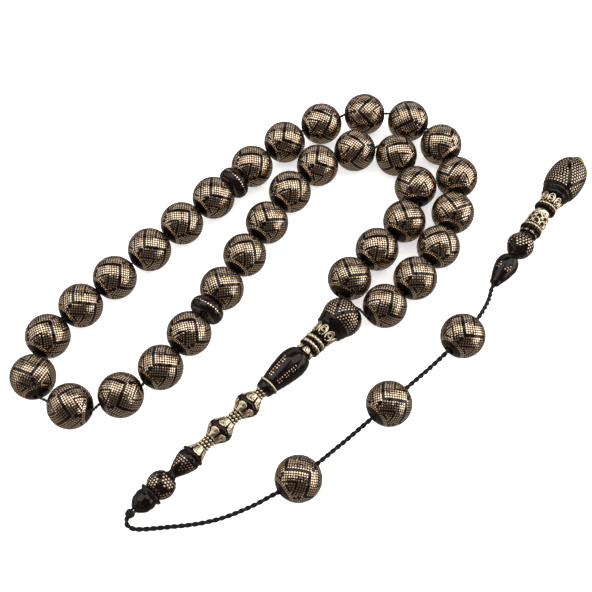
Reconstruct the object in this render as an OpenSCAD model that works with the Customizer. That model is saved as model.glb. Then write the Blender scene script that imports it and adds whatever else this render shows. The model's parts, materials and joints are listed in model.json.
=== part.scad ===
// Misbaha: a string of thirty-three prayer beads laid in a loop on a table, with two divider discs,
// a long turned head, a twisted tail cord with three loose counter beads, and a pendant.
// All sizes below are for beads of 10 mm. bead_d scales the whole string with its beads.

/* [Beads] */
// Diameter of a bead; the whole string is scaled with it
bead_d = 10; // [7:0.5:14]
// Diameter of the hole through a 10 mm bead
bore_d = 2; // [1.8:0.1:2.4]
// Play between two neighbouring beads
bead_play = 0.1; // [0.05:0.01:0.15]

/* [Discs] */
// Diameter of a divider disc
disc_d = 8; // [7:0.25:9]
// Thickness of a divider disc at its rim
disc_w = 3.2; // [2.6:0.2:3.6]

/* [Cords] */
// Diameter of the thin string inside the beads
string_d = 0.7; // [0.5:0.1:0.8]
// Diameter of the twisted tail cord
cord_d = 1.1; // [0.9:0.1:1.3]
// Diameter of the knots that hold the head and the pendant
knot_d = 2.4; // [2:0.2:2.6]

/* [Turned pieces] */
// Widest diameter of the dotted egg at the top of the head
egg_d = 9.2; // [8.6:0.2:9.6]
// Widest diameter of the pear in the head
pear_d = 6.7; // [6:0.1:7.2]
// Diameter of the two waisted beads in the head
waist_d = 5.8; // [5.4:0.2:6.2]
// Number of petals on a silver flower cap
petals = 6; // [5:1:8]

/* [Hidden] */
$fn = 64;
EPS = 0.01;
unit = bead_d / 10;
bead_r = 5;
bore_r = bore_d / 2;
seam = 0.05;              // every turned piece stops this far short of its station
group = 11;               // beads between two dividers
bead_count = 3 * group;
loop_count = bead_count + 2;
disc_places = [group, 2 * group + 1];
bead_pitch = 2 * bead_r + bead_play;
disc_hub = 1.15;          // half the disc's thickness round its bore
disc_pitch = bead_r + disc_hub + 0.2;

// Route of the beads' centres round the loop, seen from above, starting beside the head
loop_route = [
  [16, -5], [23.5, 2.5], [29, 10.5], [33, 20], [34.5, 29.5], [31.5, 39], [23.5, 46.5], [12.5, 48.5],
  [2, 45.5], [-7.5, 39.5], [-15, 32.5], [-19, 28], [-24, 23.5], [-38, 9.5], [-53, -5.5],
  [-59.5, -13.5], [-61, -23], [-51.5, -29.5], [-41.5, -26.5], [-33, -19.5], [-27.5, -11.5], [-24, -6],
  [-20.5, 0], [-10.5, 17.5], [-5.5, 25.5], [1, 33], [10, 37.5], [20.5, 36], [24.5, 27], [21.5, 17.5],
  [14.5, 9.5], [8.5, 2.5], [5, -5.5]
];
// Bare string that shows behind some places of the loop: [place, length]
bare_string = [
  [5, 0.4], [6, 0.8], [7, 1], [8, 0.5], [9, 0.5], [14, 0.4], [18, 1], [19, 0.9], [20, 0.4], [22, 0.6]
];

// Head: its tip lies here and its axis runs level with the table, rising to the egg
head_foot = [-37.5, -51.5];
head_heading = 45;
head_ball_d = 6.2;
head_ball_at = 7.5;
egg_at = 61.8;
head_tilt = asin((egg_d - head_ball_d) / 2 / (egg_at - head_ball_at));
head_mouth = 65.6;        // top end of the egg, where both ends of the loop go in
string_gap = 0.38;        // the two strings lie side by side this far off the head's axis

// Pendant: where the tail cord goes into it, and its axis
pendant_start = [41.5, 2];
pendant_heading = 55;
pendant_ball_d = 6.4;
pendant_ball_at = 11.9;
pendant_egg_d = 8.9;
pendant_egg_at = 33.4;
pendant_end = 38.9;
pendant_tilt = asin((pendant_egg_d - pendant_ball_d) / 2 / (pendant_egg_at - pendant_ball_at));
pendant_bore_r = 0.85;
stop_recess = [1.4, 36];  // radius and bottom of the pocket that hides the end knot
stop_knot_at = 37.3;

// Route of the tail cord from the knot under the head to the pendant, along its middle
tail_route = [
  [-38.2, -52.2, 2.6], [-39, -53.2, 2.1], [-38.9, -54.3, 1.4], [-37.6, -54.9, 0.8],
  [-35.5, -54.9, 0.6], [-33, -54.7, 0.6], [-30, -54.4, 0.6], [-27, -54.1, 0.6], [-24, -53.7, 0.7],
  [-21, -53.2, 1.2], [-18, -52.5, 2], [-15, -51.6, 3], [-12, -50.5, 4], [-9.5, -49.3, 4.7],
  [-7, -48, 5], [-3.5, -45.5, 5], [0.5, -42.2, 5], [3.5, -39.6, 4.8], [6.5, -37, 4.6],
  [9.5, -34.4, 4.8], [12.3, -32, 5], [16, -28.7, 5], [19.8, -25.2, 5], [22.2, -23, 4.8],
  [24.7, -20.7, 4.6], [27.2, -18.4, 4.8], [29.5, -16.2, 5], [33, -12.5, 5], [36.2, -8.8, 4.9],
  [38.3, -5.6, 4.3], [39.8, -2.6, 3.4], [40.8, 0.4, 2.7]
];
counter_places = [15, 21, 27];

function spline(p, t) =
  let (
    i = min(floor(t), len(p) - 2), f = t - i, b = p[i], c = p[i + 1],
    a = i > 0 ? p[i - 1] : 2 * b - c,
    d = i + 2 < len(p) ? p[i + 2] : 2 * c - b
  )
  (2 * b + (c - a) * f + (2 * a - 5 * b + 4 * c - d) * f * f + (3 * b - a - 3 * c + d) * f * f * f) / 2;

// Where along the route the straight distance from a point first grows to reach
function halve(p, from, lo, hi, reach, turns) =
  turns == 0 ? hi
  : let (mid = (lo + hi) / 2)
    norm(spline(p, mid) - from) < reach
    ? halve(p, from, mid, hi, reach, turns - 1)
    : halve(p, from, lo, mid, reach, turns - 1);
function is_disc(k) = len(search(k, disc_places)) > 0;
function bare_after(k) = let (row = search(k, bare_string)) len(row) > 0 ? bare_string[row[0]][1] : 0;
function reach(k) = (is_disc(k) || is_disc(k + 1) ? disc_pitch : bead_pitch) + bare_after(k);
function walk(t, k) =
  k == loop_count - 1 ? [t]
  : concat([t], walk(halve(loop_route, spline(loop_route, t), t, t + 2.2, reach(k), 24), k + 1));
centres = [for (t = walk(0, 0)) spline(loop_route, t)];

function on_axis(start, start_z, heading, tilt, s) = [
  start[0] + s * cos(tilt) * cos(heading), start[1] + s * cos(tilt) * sin(heading),
  start_z + s * sin(tilt)
];
head_foot_z = head_ball_d / 2 - head_ball_at * sin(head_tilt);
pendant_start_z = pendant_ball_d / 2 - pendant_ball_at * sin(pendant_tilt);
function on_head(s) = on_axis(head_foot, head_foot_z, head_heading, head_tilt, s);
function on_pendant(s) = on_axis(pendant_start, pendant_start_z, pendant_heading, pendant_tilt, s);

mouth = let (m = on_head(head_mouth)) [m[0], m[1]];
function unit_to(a, b) = (b - a) / norm(b - a);
// Direction of the bore at a place: between its two neighbours, and nearer the loop's side at the ends
function bore_along(k) =
  let (
    back = k == 0 ? unit_to(mouth, centres[0]) : unit_to(centres[k - 1], centres[k]),
    ahead = k == loop_count - 1 ? unit_to(centres[k], mouth) : unit_to(centres[k], centres[k + 1]),
    d = (k == 0 ? 1 : k == loop_count - 1 ? 3 : 2) * back + (k == 0 ? 3 : k == loop_count - 1 ? 1 : 2) * ahead
  )
  d / norm(d);
function heading_of(d) = atan2(d[1], d[0]);
function place_of_bead(n) = n <= group ? n - 1 : n <= 2 * group ? n : n + 1;

// Points of the string: down the head, in at one side of every piece, out at the other, and back
function through(k) =
  let (
    d = bore_along(k), half = is_disc(k) ? disc_hub : bead_r, c = centres[k],
    in = c - d * (half + (k == 0 ? 0.45 : 0)),
    out = c + d * (half + (k == loop_count - 1 ? 0.45 : 0))
  )
  [[in[0], in[1], bead_r], [out[0], out[1], bead_r]];
function beside_head(s, side) =
  on_head(s) + side * string_gap * [sin(head_heading), -cos(head_heading), 0];
string_path = concat(
  [beside_head(-1, 1), beside_head(head_mouth + 0.3, 1), beside_head(head_mouth + 0.6, 4)],
  [for (k = [0:loop_count - 1]) each through(k)],
  [beside_head(head_mouth + 0.6, -4), beside_head(head_mouth + 0.3, -1), beside_head(-1, -1)]
);
tail_path = concat(
  [for (t = [0:0.5:len(tail_route) - 1]) spline(tail_route, t)],
  [on_pendant(0.3), on_pendant(stop_knot_at)]
);

// A closed tube round a path: one ring of sides at each point, square to the path's turn
function across(d) = let (h = cross(d, [0, 0, 1])) h / norm(h);
function path_along(p, i) =
  i == 0 ? unit_to(p[0], p[1])
  : i == len(p) - 1 ? unit_to(p[i - 1], p[i])
  : let (d = unit_to(p[i - 1], p[i]) + unit_to(p[i], p[i + 1])) d / norm(d);
module tube(path, d, sides = 8) {
  n = len(path);
  points = [
    for (i = [0:n - 1])
      let (along = path_along(path, i), side = across(along), up = cross(side, along))
      for (j = [0:sides - 1]) path[i] + d / 2 * (cos(j * 360 / sides) * side + sin(j * 360 / sides) * up)
  ];
  walls = [
    for (i = [0:n - 2], j = [0:sides - 1])
      let (a = i * sides + j, b = i * sides + (j + 1) % sides)
      each [[a, b, b + sides], [a, b + sides, a + sides]]
  ];
  ends = [[for (j = [0:sides - 1]) sides - 1 - j], [for (j = [0:sides - 1]) (n - 1) * sides + j]];
  polyhedron(points, concat(walls, ends), convexity = 20);
}

module on_loop(k) {
  translate([centres[k][0], centres[k][1], bead_r]) rotate([0, 90, heading_of(bore_along(k))])
    children();
}
module along_head() {
  translate(on_head(0)) rotate([0, 90 - head_tilt, head_heading]) children();
}
module along_pendant() {
  translate(on_pendant(0)) rotate([0, 90 - pendant_tilt, pendant_heading]) children();
}

// Stretches of a turned outline, as [radius, station] points
function swell(r0, s0, r1, s1, rise, n = 8) =
  [for (i = [0:n]) let (f = i / n) [r0 + (r1 - r0) * f + rise * sin(180 * f), s0 + (s1 - s0) * f]];
function dome(r0, s0, r1, s1, n = 8) =
  [for (i = [0:n]) let (a = 90 * i / n) [r1 + (r0 - r1) * cos(a), s0 + (s1 - s0) * sin(a)]];
function cup(r0, s0, r1, s1, n = 8) =
  [for (i = [0:n]) let (a = 90 * i / n) [r0 + (r1 - r0) * sin(a), s1 + (s0 - s1) * cos(a)]];
// A solid of revolution with a bore, whose two end faces stop a seam short
module turned(outline, hole_r) {
  first = outline[0];
  last = outline[len(outline) - 1];
  rotate_extrude() polygon(concat([[hole_r, first[1] + seam]], [[first[0], first[1] + seam]],
    [for (i = [1:len(outline) - 2]) outline[i]], [[last[0], last[1] - seam]], [[hole_r, last[1] - seam]]));
}
module wire_ring(r, s, wire) {
  rotate_extrude() translate([r, s]) circle(d = wire, $fn = 24);
}
// A toothed washer
module toothed(r, s0, s1, teeth, hole_r) {
  translate([0, 0, s0]) difference() {
    cylinder(r = r, h = s1 - s0);
    translate([0, 0, -EPS]) cylinder(r = hole_r, h = s1 - s0 + 2 * EPS);
    for (i = [0:teeth - 1]) rotate(i * 360 / teeth) translate([r + 0.1, 0, -EPS])
      cylinder(r = 0.22, h = s1 - s0 + 2 * EPS, $fn = 16);
  }
}

// Sphere with a bore whose mouths are eased
module plain_bead() {
  difference() {
    sphere(r = bead_r, $fn = 96);
    cylinder(r = bore_r, h = 3 * bead_r, center = true);
    for (side = [0, 180]) rotate([side, 0, 0]) translate([0, 0, bead_r - 0.5])
      cylinder(r1 = bore_r - 0.05, r2 = bore_r + 0.6, h = 0.6);
  }
}
module bead(n) {
  color("#17120f") scale(unit) on_loop(place_of_bead(n)) plain_bead();
}
module divider_disc(n) {
  rim = disc_d / 2;
  color("#120e0d") scale(unit) on_loop(disc_places[n - 1]) rotate_extrude() polygon(concat(
    [[bore_r, -disc_hub], [1.7, -disc_hub]],
    [for (a = [-90:15:90]) [rim - 1 + cos(a), disc_w / 2 * sin(a)]],
    [[1.7, disc_hub], [bore_r, disc_hub]]
  ));
}
module counter_bead(n) {
  k = counter_places[n - 1];
  color("#17120f") scale(unit) translate(tail_route[k])
    rotate([0, 90, heading_of(tail_route[k + 1] - tail_route[k - 1])]) plain_bead();
}

module loop_string() {
  color("#241c18") scale(unit) tube(string_path, string_d);
}
module tail_cord() {
  color("#0d0b0a") scale(unit) tube(tail_path, cord_d);
}
module cord_knots() {
  color("#0d0b0a") scale(unit) {
    along_head() translate([0, 0, -knot_d / 2 - 0.15]) sphere(d = knot_d, $fn = 32);
    along_pendant() translate([0, 0, stop_knot_at]) sphere(d = 2.2, $fn = 32);
  }
}

// Head, from its tip to its top
module head_tip() {
  color("#0f0c0b") scale(unit) along_head() turned(concat(
    swell(0.95, 0, 2.35, 2.5, 0.35, 6), [[2.5, 3.1], [2.3, 4], [2.3, 4.2], [2.8, 4.4], [2.8, 5]]), bore_r - 0.1);
}
module head_ball() {
  r = head_ball_d / 2;
  color("#0f0c0b") scale(unit) along_head() turned(
    [for (a = [-54:9:54]) [r * cos(a), head_ball_at + r * sin(a)]], bore_r - 0.1);
}
module head_cone() {
  color("#0f0c0b") scale(unit) along_head() turned(concat(
    [[1.3, 10], [1.3, 10.4], [1.08, 10.6]], swell(1.15, 11, 2.65, 15, 0.15), dome(2.65, 15.2, 2.2, 16.1, 4),
    [[2.75, 16.2], [2.75, 16.8]]), bore_r - 0.05);
}
// Silver flower cap: a flared shell with notches between its petals, open end down
module flower_cap(r0, r1, length, wall, hole_r) {
  difference() {
    rotate_extrude() polygon([[hole_r, length - seam], [r0 + wall, length - seam], [r1 + wall, seam],
      [r1, seam], [max(r0, hole_r) + EPS, length - 0.5], [hole_r, length - 0.5]]);
    for (i = [0:petals - 1]) rotate([0, 90, (i + 0.5) * 360 / petals]) translate([0, 0, hole_r + 0.6])
      cylinder(r = 0.42, h = r1 + 1, $fn = 24);
  }
}
module cone_cap() {
  color("#c8bda6") scale(unit) along_head() translate([0, 0, 16.8])
    flower_cap(1.15, 1.85, 2.4, 0.3, bore_r);
}
module granule_barrels() {
  color("#c8bda6") scale(unit) along_head()
    for (row = [[19.2, 21.6, 3], [27.2, 29.7, 3], [35.3, 37.1, 2]])
      let (step = (row[1] - row[0]) / row[2])
      turned([for (i = [0:6 * row[2]]) [1.2 + 0.22 * abs(sin(30 * i)), row[0] + step * i / 6]], bore_r);
}
waist_stations = [32.5, 24.4];
waist_half = 2.8;
module waist_bead(n) {
  r = waist_d / 2;
  color("#0f0c0b") scale(unit) along_head() translate([0, 0, waist_stations[n - 1]]) turned(
    [[1.35, -waist_half], [r - 0.35, -0.55], [r, -0.2], [r, 0.2], [r - 0.35, 0.55], [1.35, waist_half]], bore_r);
}
module waist_caps(n) {
  r = waist_d / 2;
  slope = (r - 0.35 - 1.35) / (waist_half - 0.55);
  color("#c8bda6") scale(unit) along_head() translate([0, 0, waist_stations[n - 1]])
    for (side = [0, 180]) rotate([side, 0, 0]) difference() {
      rotate_extrude() polygon([[1.37, waist_half - seam], [1.37 + slope * (waist_half - 0.8), 0.8],
        [1.67 + slope * (waist_half - 0.8), 0.8], [1.67, waist_half - seam]]);
      for (i = [0:petals - 1]) rotate([0, 90, (i + 0.5) * 360 / petals]) translate([-0.6, 0, 1.6])
        cylinder(r = 0.5, h = r, $fn = 24);
    }
}
module head_pear() {
  r = pear_d / 2;
  color("#0f0c0b") scale(unit) along_head() turned(concat(
    [[1.85, 37.1], [2.15, 38.5], [1.9, 38.6], [1.9, 39.3], [2.2, 39.4]],
    swell(2.25, 39.5, r - 0.05, 45.3, 0.12), dome(r, 46, 1.9, 49.4)), bore_r);
}
module pear_ring() {
  color("#c8bda6") scale(unit) along_head() difference() {
    wire_ring(2.2, 38.95, 0.6);
    translate([0, 0, 38]) cylinder(r = 1.92, h = 2);
  }
}
module ring_spacer() {
  color("#c8bda6") scale(unit) along_head() union() {
    turned([[1.9, 49.4], [1.6, 51], [1.6, 54.4]], bore_r);
    toothed(2.6, 51, 51.7, 20, 1.5);
    wire_ring(2.2, 52, 0.7);
    turned([[2.2, 51.8], [2.2, 53.6]], 1.5);
    toothed(2.6, 52.4, 53.2, 20, 1.5);
    wire_ring(2.35, 53.7, 0.75);
    turned([[2.35, 53.3], [2.35, 54.4]], 1.5);
  }
}
module crown_collar() {
  color("#c8bda6") scale(unit) along_head() difference() {
    rotate_extrude() polygon([[bore_r, 54.4 + seam], [2.35, 54.4 + seam], [2.9, 57.4], [2.62, 57.4],
      [2.5, 56.3], [bore_r, 56.3]]);
    for (i = [0:7]) rotate([0, 90, i * 45]) translate([-57.5, 0, 1.8]) cylinder(r = 0.4, h = 2, $fn = 24);
  }
}
module head_egg() {
  r = egg_d / 2;
  color("#0f0c0b") scale(unit) along_head() turned(concat(
    [[2.45, 56.35], [2.6, 57.5], [3.4, 57.6], [3.55, 58.6], [3.75, 58.7], [3.9, 59.6]],
    swell(r - 0.6, 59.7, r, egg_at, 0.1, 6), dome(r, egg_at + 0.1, 1.35, head_mouth)), bore_r + 0.1);
}

// Pendant, from the end that the cord goes into to its stud
module pendant_drop() {
  color("#0f0c0b") scale(unit) along_pendant() turned(concat(
    [[1.15, 0], [1.25, 0.4]], swell(1.3, 0.8, 2.6, 5.2, 0.15), dome(2.65, 5.6, 1.4, 8), [[1.4, 8.4]]),
    pendant_bore_r);
}
module pendant_ball() {
  r = pendant_ball_d / 2;
  color("#0f0c0b") scale(unit) along_pendant() turned(concat(
    cup(1.3, 8.4, 2, 9.3, 4), [for (a = [-50:10:60]) [r * cos(a), pendant_ball_at + r * sin(a)]],
    [[1.75, 14.8], [1.75, 15.3]]), pendant_bore_r);
}
module pendant_collars() {
  color("#c8bda6") scale(unit) along_pendant() {
    union() {
      turned([[2.2, 15.3], [1.9, 16.3], [2, 17.2], [2.4, 19], [2.3, 21], [1.9, 22.9]], pendant_bore_r);
      toothed(2.6, 16.3, 17.1, 22, 1.2);
      wire_ring(2.2, 17.35, 0.6);
    }
    union() {
      turned([[1.9, 22.9], [2, 24.4], [2.4, 27.2]], pendant_bore_r);
      toothed(2.6, 23.1, 23.9, 22, 1.2);
      wire_ring(2.2, 24.15, 0.6);
    }
  }
}
module pendant_egg() {
  r = pendant_egg_d / 2;
  color("#0f0c0b") scale(unit) along_pendant() difference() {
    turned(concat(
      [[2.9, 27.2], [3.05, 28.7], [3.4, 28.8], [3.6, 30.2]],
      swell(r - 0.55, 30.3, r, pendant_egg_at, 0.1, 6), dome(r, pendant_egg_at + 0.1, 1.8, pendant_end)),
      pendant_bore_r);
    translate([0, 0, stop_recess[1]]) cylinder(r = stop_recess[0], h = 5);
  }
}
module pendant_stud() {
  color("#a8812f") scale(unit) along_pendant() union() {
    translate([0, 0, pendant_end - 0.4]) cylinder(r = stop_recess[0] - 0.05, h = 0.6);
    rotate_extrude() polygon(concat([[0, pendant_end]], dome(1.7, pendant_end, 0, 40.6)));
  }
}

function bead_name(n) = str("bead_", n < 10 ? "0" : "", n);

for (n = [1:bead_count]) bead(n);
divider_disc(1);  // divider_disc_1
divider_disc(2);  // divider_disc_2
loop_string();
tail_cord();
cord_knots();
counter_bead(1);  // counter_bead_1
counter_bead(2);  // counter_bead_2
counter_bead(3);  // counter_bead_3
head_tip();
head_ball();
head_cone();
cone_cap();
granule_barrels();
waist_bead(1);  // waist_bead_1
waist_bead(2);  // waist_bead_2
waist_caps(1);  // waist_caps_1
waist_caps(2);  // waist_caps_2
head_pear();
pear_ring();
ring_spacer();
crown_collar();
head_egg();
pendant_drop();
pendant_ball();
pendant_collars();
pendant_egg();
pendant_stud();
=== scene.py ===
# %% [markdown]
# # A string of inlaid prayer beads
# Thirty-three round beads lie in a loop on a table, with two flat divider discs among them. Both ends of
# their thin string run down through a long turned head. A twisted cord leaves the head's knot, carries
# three loose counter beads and ends in a pendant. The black is polished jet, and every light dot in it is
# the end of a silver pin. The frame that is loaded first holds the plain solid of each piece, so every
# piece made below takes its place and its axis from there.

# %% Load the frame
import json
import math
import random

import bpy
from mathutils import Matrix, Vector


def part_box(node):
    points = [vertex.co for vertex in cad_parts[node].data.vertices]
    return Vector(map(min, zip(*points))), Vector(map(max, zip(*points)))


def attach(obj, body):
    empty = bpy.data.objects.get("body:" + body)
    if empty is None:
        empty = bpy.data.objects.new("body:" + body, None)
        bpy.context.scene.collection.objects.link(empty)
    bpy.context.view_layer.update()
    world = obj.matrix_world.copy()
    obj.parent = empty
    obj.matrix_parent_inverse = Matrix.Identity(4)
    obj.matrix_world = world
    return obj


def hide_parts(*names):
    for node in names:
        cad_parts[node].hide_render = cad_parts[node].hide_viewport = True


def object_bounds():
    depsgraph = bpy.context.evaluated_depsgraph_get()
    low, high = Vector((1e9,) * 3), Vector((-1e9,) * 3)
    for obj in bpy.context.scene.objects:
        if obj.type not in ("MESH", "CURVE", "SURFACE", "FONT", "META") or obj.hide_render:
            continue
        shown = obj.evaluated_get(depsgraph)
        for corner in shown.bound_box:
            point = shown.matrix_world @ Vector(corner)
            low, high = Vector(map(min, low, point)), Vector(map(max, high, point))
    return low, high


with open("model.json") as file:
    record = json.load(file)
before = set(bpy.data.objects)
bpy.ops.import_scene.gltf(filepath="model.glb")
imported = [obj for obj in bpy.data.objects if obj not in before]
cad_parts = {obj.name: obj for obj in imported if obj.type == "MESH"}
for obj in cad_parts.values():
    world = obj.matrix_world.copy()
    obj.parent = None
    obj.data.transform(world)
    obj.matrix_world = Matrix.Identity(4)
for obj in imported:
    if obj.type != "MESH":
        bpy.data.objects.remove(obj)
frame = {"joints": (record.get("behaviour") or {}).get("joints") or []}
cad_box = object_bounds()
MM = 0.001

# %% [markdown]
# ## The camera
# The string is seen from steeply above, with its near edge towards the viewer. The camera is aimed at a
# point on the table: a rotation that carries the lens direction to that point. A narrow angle of view keeps
# the beads at the far edge nearly as large as the near ones.

# %% Camera
LOOK_AT = Vector((-4.0, -2.5, 5.0)) * MM
LOOK_DOWN = math.radians(62)
LOOK_FROM = 249.7 * MM

camera = bpy.data.objects.new("camera", bpy.data.cameras.new("camera"))
bpy.context.scene.collection.objects.link(camera)
camera.data.angle = math.radians(30)
camera.data.clip_start = 10 * MM
camera.location = LOOK_AT + LOOK_FROM * Vector((0, -math.cos(LOOK_DOWN), math.sin(LOOK_DOWN)))
camera.rotation_euler = (math.pi / 2 - LOOK_DOWN, 0, 0)
bpy.context.scene.camera = camera
print("camera stands", round(camera.location.z / MM), "mm above the table")

# %% [markdown]
# ## Writing materials as sums
# A Blender material is a graph of nodes. Long graphs are hard to read as lists of links, so this small
# class wraps one output socket and turns ordinary Python arithmetic on it into Math nodes. Everything
# that is not arithmetic comes from one method, which takes the node's type, its settings and its inputs.

# %% Shader expressions
class Flow:
    """A value that flows out of a shader node."""

    def __init__(self, finish, socket):
        self.finish = finish
        self.socket = socket

    def _math(self, operation, a, b=0.0):
        return self.finish.node("ShaderNodeMath", {"operation": operation}, {0: a, 1: b})

    def __add__(self, other):
        return self._math("ADD", self, other)

    def __radd__(self, other):
        return self._math("ADD", other, self)

    def __sub__(self, other):
        return self._math("SUBTRACT", self, other)

    def __rsub__(self, other):
        return self._math("SUBTRACT", other, self)

    def __mul__(self, other):
        return self._math("MULTIPLY", self, other)

    def __rmul__(self, other):
        return self._math("MULTIPLY", other, self)


class Finish:
    """A material built from expressions."""

    def __init__(self, name):
        self.material = bpy.data.materials.new(name)
        self.material.use_nodes = True
        self.tree = self.material.node_tree
        self.shader = self.tree.nodes["Principled BSDF"]

    def node(self, kind, settings=None, inputs=None, out=0):
        made = self.tree.nodes.new(kind)
        for key, value in (settings or {}).items():
            setattr(made, key, value)
        self.feed(made, inputs or {})
        return Flow(self, made.outputs[out])

    def feed(self, node, inputs):
        for key, value in inputs.items():
            if isinstance(value, Flow):
                self.tree.links.new(value.socket, node.inputs[key])
            else:
                node.inputs[key].default_value = value

    def wear(self, **inputs):
        self.feed(self.shader, {key.replace("_", " "): value for key, value in inputs.items()})
        return self.material

    def place(self):
        return self.node("ShaderNodeTexCoord", out="Object")

    def noise(self, size_mm, detail=3.0):
        """Cloudy noise from 0 to 1 whose patches are about size_mm across."""
        inputs = {"Vector": self.place(), "Scale": 1 / (size_mm * MM), "Detail": detail}
        return self.node("ShaderNodeTexNoise", {}, inputs)

    def between(self, amount, low, high):
        """A colour that goes from low to high as amount goes from 0 to 1."""
        return self.node("ShaderNodeMix", {"data_type": "RGBA"}, {0: amount, 6: low, 7: high}, out=2)

    def spread(self, value, low, high):
        """value stretched so that low becomes 0 and high becomes 1."""
        return self.node("ShaderNodeMapRange", {}, {0: value, 1: low, 2: high})

    def bump(self, height, depth_mm, strength=1.0):
        inputs = {"Height": height, "Distance": depth_mm * MM, "Strength": strength}
        return self.node("ShaderNodeBump", {}, inputs)


# %% [markdown]
# ## Six finishes
# ** Jet** is a soft black stone that takes a deep polish. Handling leaves faint cloudy patches in its gloss and a brown cast where the stone is less pure. **Pin silver** is the polished face of the pins: the same metal everywhere, a little duller where fingers have rubbed it. **Cast silver** is bright on its ridges and blackened in its hollows, which is how the maker brings out the relief; an ambient occlusion node finds the hollows. **Blackened silver** backs the open work; the same finish also gives the dark patches of painted shade inside the eyelets. **Brass** closes the pendant. **Cord** is waxed black thread, whose fibres show as fine streaks of roughness.

# %% Finishes
def jet_finish():
    f = Finish("jet")
    cloud = f.spread(f.noise(2.6), 0.35, 0.7)
    grain = f.noise(0.25, 2.0)
    return f.wear(
        Base_Color=f.between(cloud, (0.0018, 0.0010, 0.0009, 1), (0.006, 0.0034, 0.0028, 1)),
        Roughness=0.07 + 0.06 * cloud + 0.04 * grain,
        Specular_IOR_Level=0.28,
        Normal=f.bump(grain, 0.004, 0.3),
    )


def pin_silver_finish():
    f = Finish("pin_silver")
    rubbed = f.spread(f.noise(1.8), 0.3, 0.7)
    return f.wear(
        Base_Color=f.between(rubbed, (0.97, 0.80, 0.60, 1), (0.82, 0.62, 0.44, 1)),
        Metallic=1.0,
        Roughness=0.19 + 0.10 * rubbed,
    )


def cast_silver_finish():
    f = Finish("cast_silver")
    open_air = f.node("ShaderNodeAmbientOcclusion", {"samples": 8}, {"Distance": 0.7 * MM}, out="AO")
    pits = f.noise(0.3, 4.0)
    bright = f.spread(open_air - 0.2 * pits, 0.25, 0.66)
    return f.wear(
        Base_Color=f.between(bright, (0.030, 0.020, 0.012, 1), (0.92, 0.80, 0.60, 1)),
        Metallic=1.0,
        Roughness=0.40 - 0.20 * bright + 0.10 * pits,
        Normal=f.bump(pits, 0.02, 0.5),
    )


def dark_silver_and_hole_shade_finish():
    # blackened silver for the open work, also used as painted shade for the holes inside the eyelets
    f = Finish("blackened_silver_and_hole_shade")
    rubbed = f.spread(f.noise(0.35, 4.0), 0.55, 0.8)
    return f.wear(
        Base_Color=f.between(rubbed, (0.018, 0.012, 0.008, 1), (0.34, 0.27, 0.17, 1)),
        Metallic=1.0,
        Roughness=0.45 - 0.12 * rubbed,
        Normal=f.bump(rubbed, 0.02, 0.5),
    )


def brass_finish():
    f = Finish("brass")
    dull = f.spread(f.noise(0.8, 4.0), 0.3, 0.7)
    return f.wear(
        Base_Color=f.between(dull, (0.46, 0.38, 0.09, 1), (0.24, 0.20, 0.05, 1)),
        Metallic=1.0,
        Roughness=0.2 + 0.25 * dull,
        Normal=f.bump(dull, 0.01, 0.4),
    )


def cord_finish(name, dark, light, fibre_mm):
    f = Finish(name)
    fibre = f.noise(fibre_mm, 5.0)
    return f.wear(
        Base_Color=f.between(f.spread(fibre, 0.35, 0.7), dark, light),
        Roughness=0.42 + 0.35 * fibre,
        Specular_IOR_Level=0.25,
        Normal=f.bump(fibre, 0.05, 0.8),
    )


JET = jet_finish()
PIN_SILVER = pin_silver_finish()
CAST_SILVER = cast_silver_finish()
DARK_SILVER_AND_HOLE_SHADE = dark_silver_and_hole_shade_finish()
BRASS = brass_finish()
CORD = cord_finish("waxed_cord", (0.002, 0.0014, 0.0014, 1), (0.012, 0.008, 0.007, 1), 0.22)
STRING = cord_finish("thin_string", (0.008, 0.005, 0.004, 1), (0.05, 0.034, 0.025, 1), 0.15)
print("finishes:", [m.name for m in bpy.data.materials])

# %% [markdown]
# ## Building meshes
# Every piece is a list of points, a list of faces and, where a piece has two finishes, a number for each
# face. `Shape` collects them, in millimetres, so that one piece can be made from several parts: a turned
# body, its pins, its wires. `show` turns a shape into an object that rides on its body of the frame and
# stands for its plain solids.

# %% Shape and show
class Shape:
    """Points and faces of one piece, in millimetres."""

    def __init__(self):
        self.points, self.faces, self.finish_of = [], [], []

    def add(self, points, faces, finish=0):
        first = len(self.points)
        self.points += [tuple(p) for p in points]
        self.faces += [tuple(first + i for i in face) for face in faces]
        self.finish_of += [finish] * len(faces)

    def mesh(self, name, finishes):
        mesh = bpy.data.meshes.new(name)
        mesh.from_pydata([(x * MM, y * MM, z * MM) for x, y, z in self.points], [], self.faces)
        for finish in finishes:
            mesh.materials.append(finish)
        mesh.polygons.foreach_set("material_index", self.finish_of)
        mesh.shade_smooth()
        mesh.update()
        return mesh


def show(name, mesh, place, body, solids):
    piece = bpy.data.objects.new(name, mesh)
    bpy.context.scene.collection.objects.link(piece)
    piece.matrix_world = place
    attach(piece, body)
    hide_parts(*solids)
    return piece


def grid_faces(rows, columns, wrap_columns=True, wrap_rows=False):
    """Four-sided faces over rows of points, each row holding the same number of columns."""
    last_row = rows if wrap_rows else rows - 1
    last_column = columns if wrap_columns else columns - 1
    return [
        (r * columns + c, r * columns + (c + 1) % columns,
         (r + 1) % rows * columns + (c + 1) % columns, (r + 1) % rows * columns + c)
        for r in range(last_row) for c in range(last_column)
    ]


# %% [markdown]
# ## Wires and strands
# A cord, a twisted ring and the raised wire of an arch are all the same thing: a round section carried
# along a path. The section must not spin as the path turns, so each new frame is the last one rotated
# by the smallest turn between the two directions. Twisting several thin strands about one path then
# gives a laid cord.

# %% Sweeping a section along a path
def directions(path, closed):
    count = len(path)
    found = []
    for i in range(count):
        before = path[i - 1] if closed or i else path[i]
        after = path[(i + 1) % count] if closed or i < count - 1 else path[i]
        found.append((after - before).normalized())
    return found


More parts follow.
